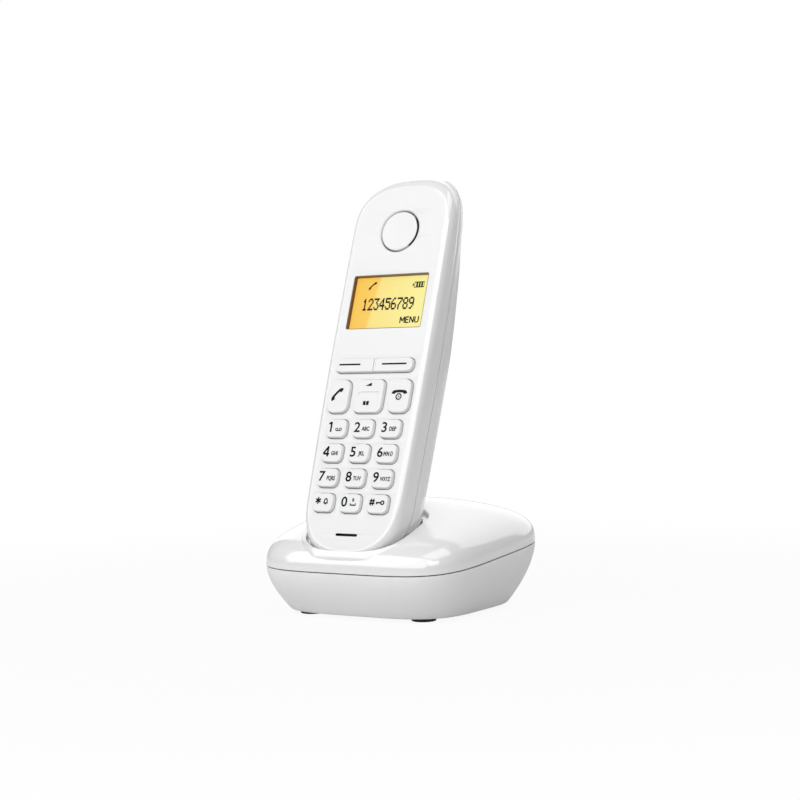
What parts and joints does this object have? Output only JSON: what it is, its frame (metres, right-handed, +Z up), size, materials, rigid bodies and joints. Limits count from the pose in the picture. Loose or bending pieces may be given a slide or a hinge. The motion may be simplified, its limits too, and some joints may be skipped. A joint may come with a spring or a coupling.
{
  "type": "cordless phone with base",
  "caption": "Cordless telephone handset with keypad and amber display, standing tilted back in a low square charging base.",
  "frame": {"origin": "on the table under the middle of the base", "axes": "+Z up, the user stands at -Y, +X to the user's right"},
  "size_m": [0.0924, 0.0896, 0.173],
  "materials": {
    "face_white": "fine matte texture",
    "gloss_white": "high gloss",
    "satin_white": "satin",
    "key_white": "satin gloss with printed legends",
    "amber_window": "clear window over a lit amber display",
    "black_plastic": "fine matte",
    "black_rubber": "matte",
    "grey_rubber": "translucent grey silicone",
    "board_green": "solder mask",
    "cell_sleeve": "plain printed sleeve",
    "bright_metal": "plated steel",
    "contact_gold": "gold plated"
  },
  "bodies": {
    "base": {"base_cover": "gloss_white", "base_tub": "satin_white", "base_board": "board_green", "base_contacts": "contact_gold", "line_socket": "black_plastic", "power_socket": "black_plastic", "rubber_feet": "black_rubber", "base_screws": "bright_metal"},
    "handset": {"handset_front_shell": "face_white", "handset_rear_shell": "gloss_white", "display_lens": "amber_window", "display_module": "bright_metal", "earpiece_disc": "face_white", "earpiece_speaker": "black_plastic", "ringer_speaker": "black_plastic", "microphone": "bright_metal", "keypad_mat": "grey_rubber", "handset_board": "board_green", "battery_cells": "cell_sleeve", "battery_springs": "bright_metal", "handset_contacts": "contact_gold", "handset_screws": "bright_metal"},
    "key_1": {"key_1": "key_white"},
    "key_2": {"key_2": "key_white"},
    "key_3": {"key_3": "key_white"},
    "key_4": {"key_4": "key_white"},
    "key_5": {"key_5": "key_white"},
    "key_6": {"key_6": "key_white"},
    "key_7": {"key_7": "key_white"},
    "key_8": {"key_8": "key_white"},
    "key_9": {"key_9": "key_white"},
    "key_star": {"key_star": "key_white"},
    "key_0": {"key_0": "key_white"},
    "key_hash": {"key_hash": "key_white"},
    "call_key": {"call_key": "key_white"},
    "end_key": {"end_key": "key_white"},
    "left_soft_key": {"left_soft_key": "key_white"},
    "right_soft_key": {"right_soft_key": "key_white"},
    "navigation_key": {"navigation_key": "key_white"},
    "battery_cover": {"battery_cover": "gloss_white"},
    "paging_key": {"paging_key": "key_white"}
  },
  "joints": [
    {"name": "handset_lift", "type": "slide", "parent": "base", "child": "handset", "axis": [0, 0.3387, 0.9409], "range_m": [0, 0.12]},
    {"name": "key_1_press", "type": "slide", "parent": "handset", "child": "key_1", "axis": [0, 0.9409, -0.3387], "range_m": [0, 0.0008], "stiffness_N_per_m": 900, "springref_m": -0.0006},
    {"name": "key_2_press", "type": "slide", "parent": "handset", "child": "key_2", "axis": [0, 0.9409, -0.3387], "range_m": [0, 0.0008], "stiffness_N_per_m": 900, "springref_m": -0.0006},
    {"name": "key_3_press", "type": "slide", "parent": "handset", "child": "key_3", "axis": [0, 0.9409, -0.3387], "range_m": [0, 0.0008], "stiffness_N_per_m": 900, "springref_m": -0.0006},
    {"name": "key_4_press", "type": "slide", "parent": "handset", "child": "key_4", "axis": [0, 0.9409, -0.3387], "range_m": [0, 0.0008], "stiffness_N_per_m": 900, "springref_m": -0.0006},
    {"name": "key_5_press", "type": "slide", "parent": "handset", "child": "key_5", "axis": [0, 0.9409, -0.3387], "range_m": [0, 0.0008], "stiffness_N_per_m": 900, "springref_m": -0.0006},
    {"name": "key_6_press", "type": "slide", "parent": "handset", "child": "key_6", "axis": [0, 0.9409, -0.3387], "range_m": [0, 0.0008], "stiffness_N_per_m": 900, "springref_m": -0.0006},
    {"name": "key_7_press", "type": "slide", "parent": "handset", "child": "key_7", "axis": [0, 0.9409, -0.3387], "range_m": [0, 0.0008], "stiffness_N_per_m": 900, "springref_m": -0.0006},
    {"name": "key_8_press", "type": "slide", "parent": "handset", "child": "key_8", "axis": [0, 0.9409, -0.3387], "range_m": [0, 0.0008], "stiffness_N_per_m": 900, "springref_m": -0.0006},
    {"name": "key_9_press", "type": "slide", "parent": "handset", "child": "key_9", "axis": [0, 0.9409, -0.3387], "range_m": [0, 0.0008], "stiffness_N_per_m": 900, "springref_m": -0.0006},
    {"name": "key_star_press", "type": "slide", "parent": "handset", "child": "key_star", "axis": [0, 0.9409, -0.3387], "range_m": [0, 0.0008], "stiffness_N_per_m": 900, "springref_m": -0.0006},
    {"name": "key_0_press", "type": "slide", "parent": "handset", "child": "key_0", "axis": [0, 0.9409, -0.3387], "range_m": [0, 0.0008], "stiffness_N_per_m": 900, "springref_m": -0.0006},
    {"name": "key_hash_press", "type": "slide", "parent": "handset", "child": "key_hash", "axis": [0, 0.9409, -0.3387], "range_m": [0, 0.0008], "stiffness_N_per_m": 900, "springref_m": -0.0006},
    {"name": "call_key_press", "type": "slide", "parent": "handset", "child": "call_key", "axis": [0, 0.9409, -0.3387], "range_m": [0, 0.0008], "stiffness_N_per_m": 900, "springref_m": -0.0006},
    {"name": "end_key_press", "type": "slide", "parent": "handset", "child": "end_key", "axis": [0, 0.9409, -0.3387], "range_m": [0, 0.0008], "stiffness_N_per_m": 900, "springref_m": -0.0006},
    {"name": "left_soft_key_press", "type": "slide", "parent": "handset", "child": "left_soft_key", "axis": [0, 0.9409, -0.3387], "range_m": [0, 0.0008], "stiffness_N_per_m": 900, "springref_m": -0.0006},
    {"name": "right_soft_key_press", "type": "slide", "parent": "handset", "child": "right_soft_key", "axis": [0, 0.9409, -0.3387], "range_m": [0, 0.0008], "stiffness_N_per_m": 900, "springref_m": -0.0006},
    {"name": "navigation_key_rock", "type": "hinge", "parent": "handset", "child": "navigation_key", "pos_m": [0, -0.01799, 0.08452], "axis": [1, 0, 0], "range_deg": [-2.5, 2.5], "stiffness_Nm_per_rad": 0.05},
    {"name": "battery_cover_swing", "type": "hinge", "parent": "handset", "child": "battery_cover", "pos_m": [0, -0.00734, 0.04561], "axis": [-1, 0, 0], "range_deg": [0, 40]},
    {"name": "paging_key_press", "type": "slide", "parent": "base", "child": "paging_key", "axis": [0, 0, 1], "range_m": [0, 0.0008], "stiffness_N_per_m": 900, "springref_m": -0.0006}
  ]
}
